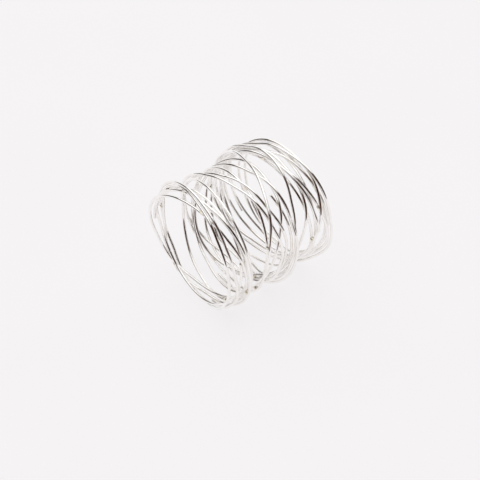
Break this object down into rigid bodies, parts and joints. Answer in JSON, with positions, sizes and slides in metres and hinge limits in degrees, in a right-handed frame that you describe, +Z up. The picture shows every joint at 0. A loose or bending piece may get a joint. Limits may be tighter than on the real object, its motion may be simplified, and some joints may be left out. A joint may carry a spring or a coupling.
{
  "type": "wire napkin ring",
  "caption": "Open wire napkin ring lying on its side: long lengths of polished silver wire wound round at many leans, crossing over each other and tacked together.",
  "frame": {"origin": "on the table under the ring, at the centre of its bounding box's bottom face", "axes": "+Z up; the ring lies on its side with its axis along Y, its front end at -Y"},
  "size_m": [0.0472, 0.0456, 0.0488],
  "materials": {
    "silver_wire": "polished silver plate",
    "braze": "braze metal under thin silver plate"
  },
  "bodies": {
    "root": {"front_crossing_wire": "silver_wire", "front_rim_wire": "silver_wire", "front_tacks": "braze", "middle_tacks": "braze", "middle_wire": "silver_wire", "outer_wire": "silver_wire", "rear_crossing_wire": "silver_wire", "rear_rim_wire": "silver_wire", "rear_tacks": "braze"}
  },
  "joints": []
}
